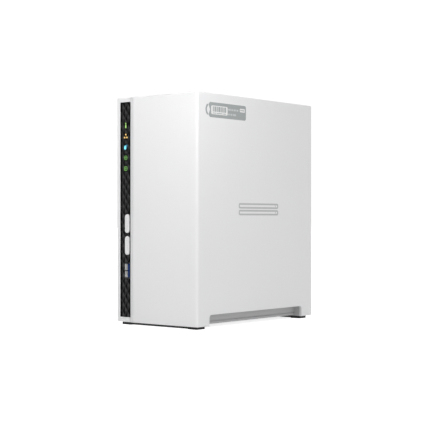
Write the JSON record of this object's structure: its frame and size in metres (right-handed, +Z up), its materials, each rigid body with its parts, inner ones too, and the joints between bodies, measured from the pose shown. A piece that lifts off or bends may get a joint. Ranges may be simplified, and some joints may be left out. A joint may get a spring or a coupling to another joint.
{
  "type": "network attached storage",
  "caption": "Upright home storage server: white sliding cover over a chassis with a black light-and-button strip, hard drives, main board and rear fan.",
  "frame": {"origin": "on the surface it stands on, under the middle of the case's outline", "axes": "+Z up, -Y the front with the light strip, +X the right side with the label"},
  "size_m": [0.0902, 0.1562, 0.1886],
  "materials": {
    "white_case": "fine satin texture",
    "insert_black": "glossy, moulded diamond relief",
    "key_white": "smooth satin",
    "clear_light_guide": "clear, lit from behind",
    "foot_rubber": "matte",
    "board_green": "solder mask over glass laminate",
    "chip_black": "matte moulded epoxy",
    "black_plastic": "matte",
    "port_steel": "plated",
    "usb_blue": "satin",
    "contact_gold": "gold plated",
    "cage_steel": "zinc plated sheet",
    "screw_steel": "nickel plated",
    "drive_casting": "cast, dull",
    "drive_lid": "pressed, satin",
    "heat_sink_black": "black anodised",
    "capacitor_can": "bare can",
    "cell_steel": "polished",
    "fan_black": "satin",
    "inductor_grey": "moulded ferrite",
    "label_grey": "printed film",
    "emblem_grey": "flat print",
    "label_white": "blank printed film",
    "lead_black": "soft sleeve",
    "lamp_white": "clear epoxy over white"
  },
  "bodies": {
    "chassis": {"base_screws": "screw_steel", "base_tray": "white_case", "board_connector": "black_plastic", "board_screws": "screw_steel", "buzzer": "black_plastic", "cage_bridge": "cage_steel", "cage_front": "cage_steel", "cage_rear": "cage_steel", "cage_screws": "screw_steel", "capacitors": "capacitor_can", "coin_cell": "cell_steel", "coin_cell_holder": "black_plastic", "copy_switch": "black_plastic", "cover_screws": "screw_steel", "dc_jack": "black_plastic", "dc_pin": "contact_gold", "drive_1_board": "board_green", "drive_1_casting": "drive_casting", "drive_1_lid": "drive_lid", "drive_2_board": "board_green", "drive_2_casting": "drive_casting", "drive_2_lid": "drive_lid", "drive_backplane": "board_green", "drive_screws": "screw_steel", "drive_sockets": "black_plastic", "fan_frame": "fan_black", "fan_lead": "lead_black", "fan_screws": "screw_steel", "front_foot_bar": "foot_rubber", "front_insert": "insert_black", "front_usb_contacts": "contact_gold", "front_usb_shell": "port_steel", "front_usb_tongue": "usb_blue", "heat_sink": "heat_sink_black", "inductors": "inductor_grey", "lan_contacts": "contact_gold", "lan_jack": "black_plastic", "lan_lights": "clear_light_guide", "led_array": "lamp_white", "left_shell": "white_case", "light_pipe": "clear_light_guide", "main_board": "board_green", "memory_chips": "chip_black", "power_switch": "black_plastic", "processor": "chip_black", "rating_label": "label_white", "rear_foot_bar": "foot_rubber", "rear_panel": "white_case", "rear_usb_shell": "port_steel", "rear_usb_tongues": "black_plastic", "reset_switch": "black_plastic"},
    "cover": {"cover": "white_case", "side_label": "label_grey", "emblem": "emblem_grey"},
    "power_key": {"power_button": "key_white", "power_switch_plunger": "black_plastic"},
    "copy_key": {"copy_button": "key_white", "copy_switch_plunger": "black_plastic"},
    "reset_key": {"reset_plunger": "black_plastic"},
    "fan_rotor": {"fan_impeller": "fan_black"}
  },
  "joints": [
    {"name": "cover_slide", "type": "slide", "parent": "chassis", "child": "cover", "axis": [0, -1, 0], "range_m": [0, 0.165]},
    {"name": "power_press", "type": "slide", "parent": "chassis", "child": "power_key", "axis": [0, 1, 0], "range_m": [0, 0.0008], "stiffness_N_per_m": 1000, "springref_m": -0.0004},
    {"name": "copy_press", "type": "slide", "parent": "chassis", "child": "copy_key", "axis": [0, 1, 0], "range_m": [0, 0.0008], "stiffness_N_per_m": 1000, "springref_m": -0.0004},
    {"name": "reset_press", "type": "slide", "parent": "chassis", "child": "reset_key", "axis": [0, -1, 0], "range_m": [0, 0.0004], "stiffness_N_per_m": 1000, "springref_m": -0.0003},
    {"name": "fan_spin", "type": "hinge", "parent": "chassis", "child": "fan_rotor", "pos_m": [0, 0.06203, 0.1415], "axis": [0, 1, 0], "continuous": true}
  ]
}
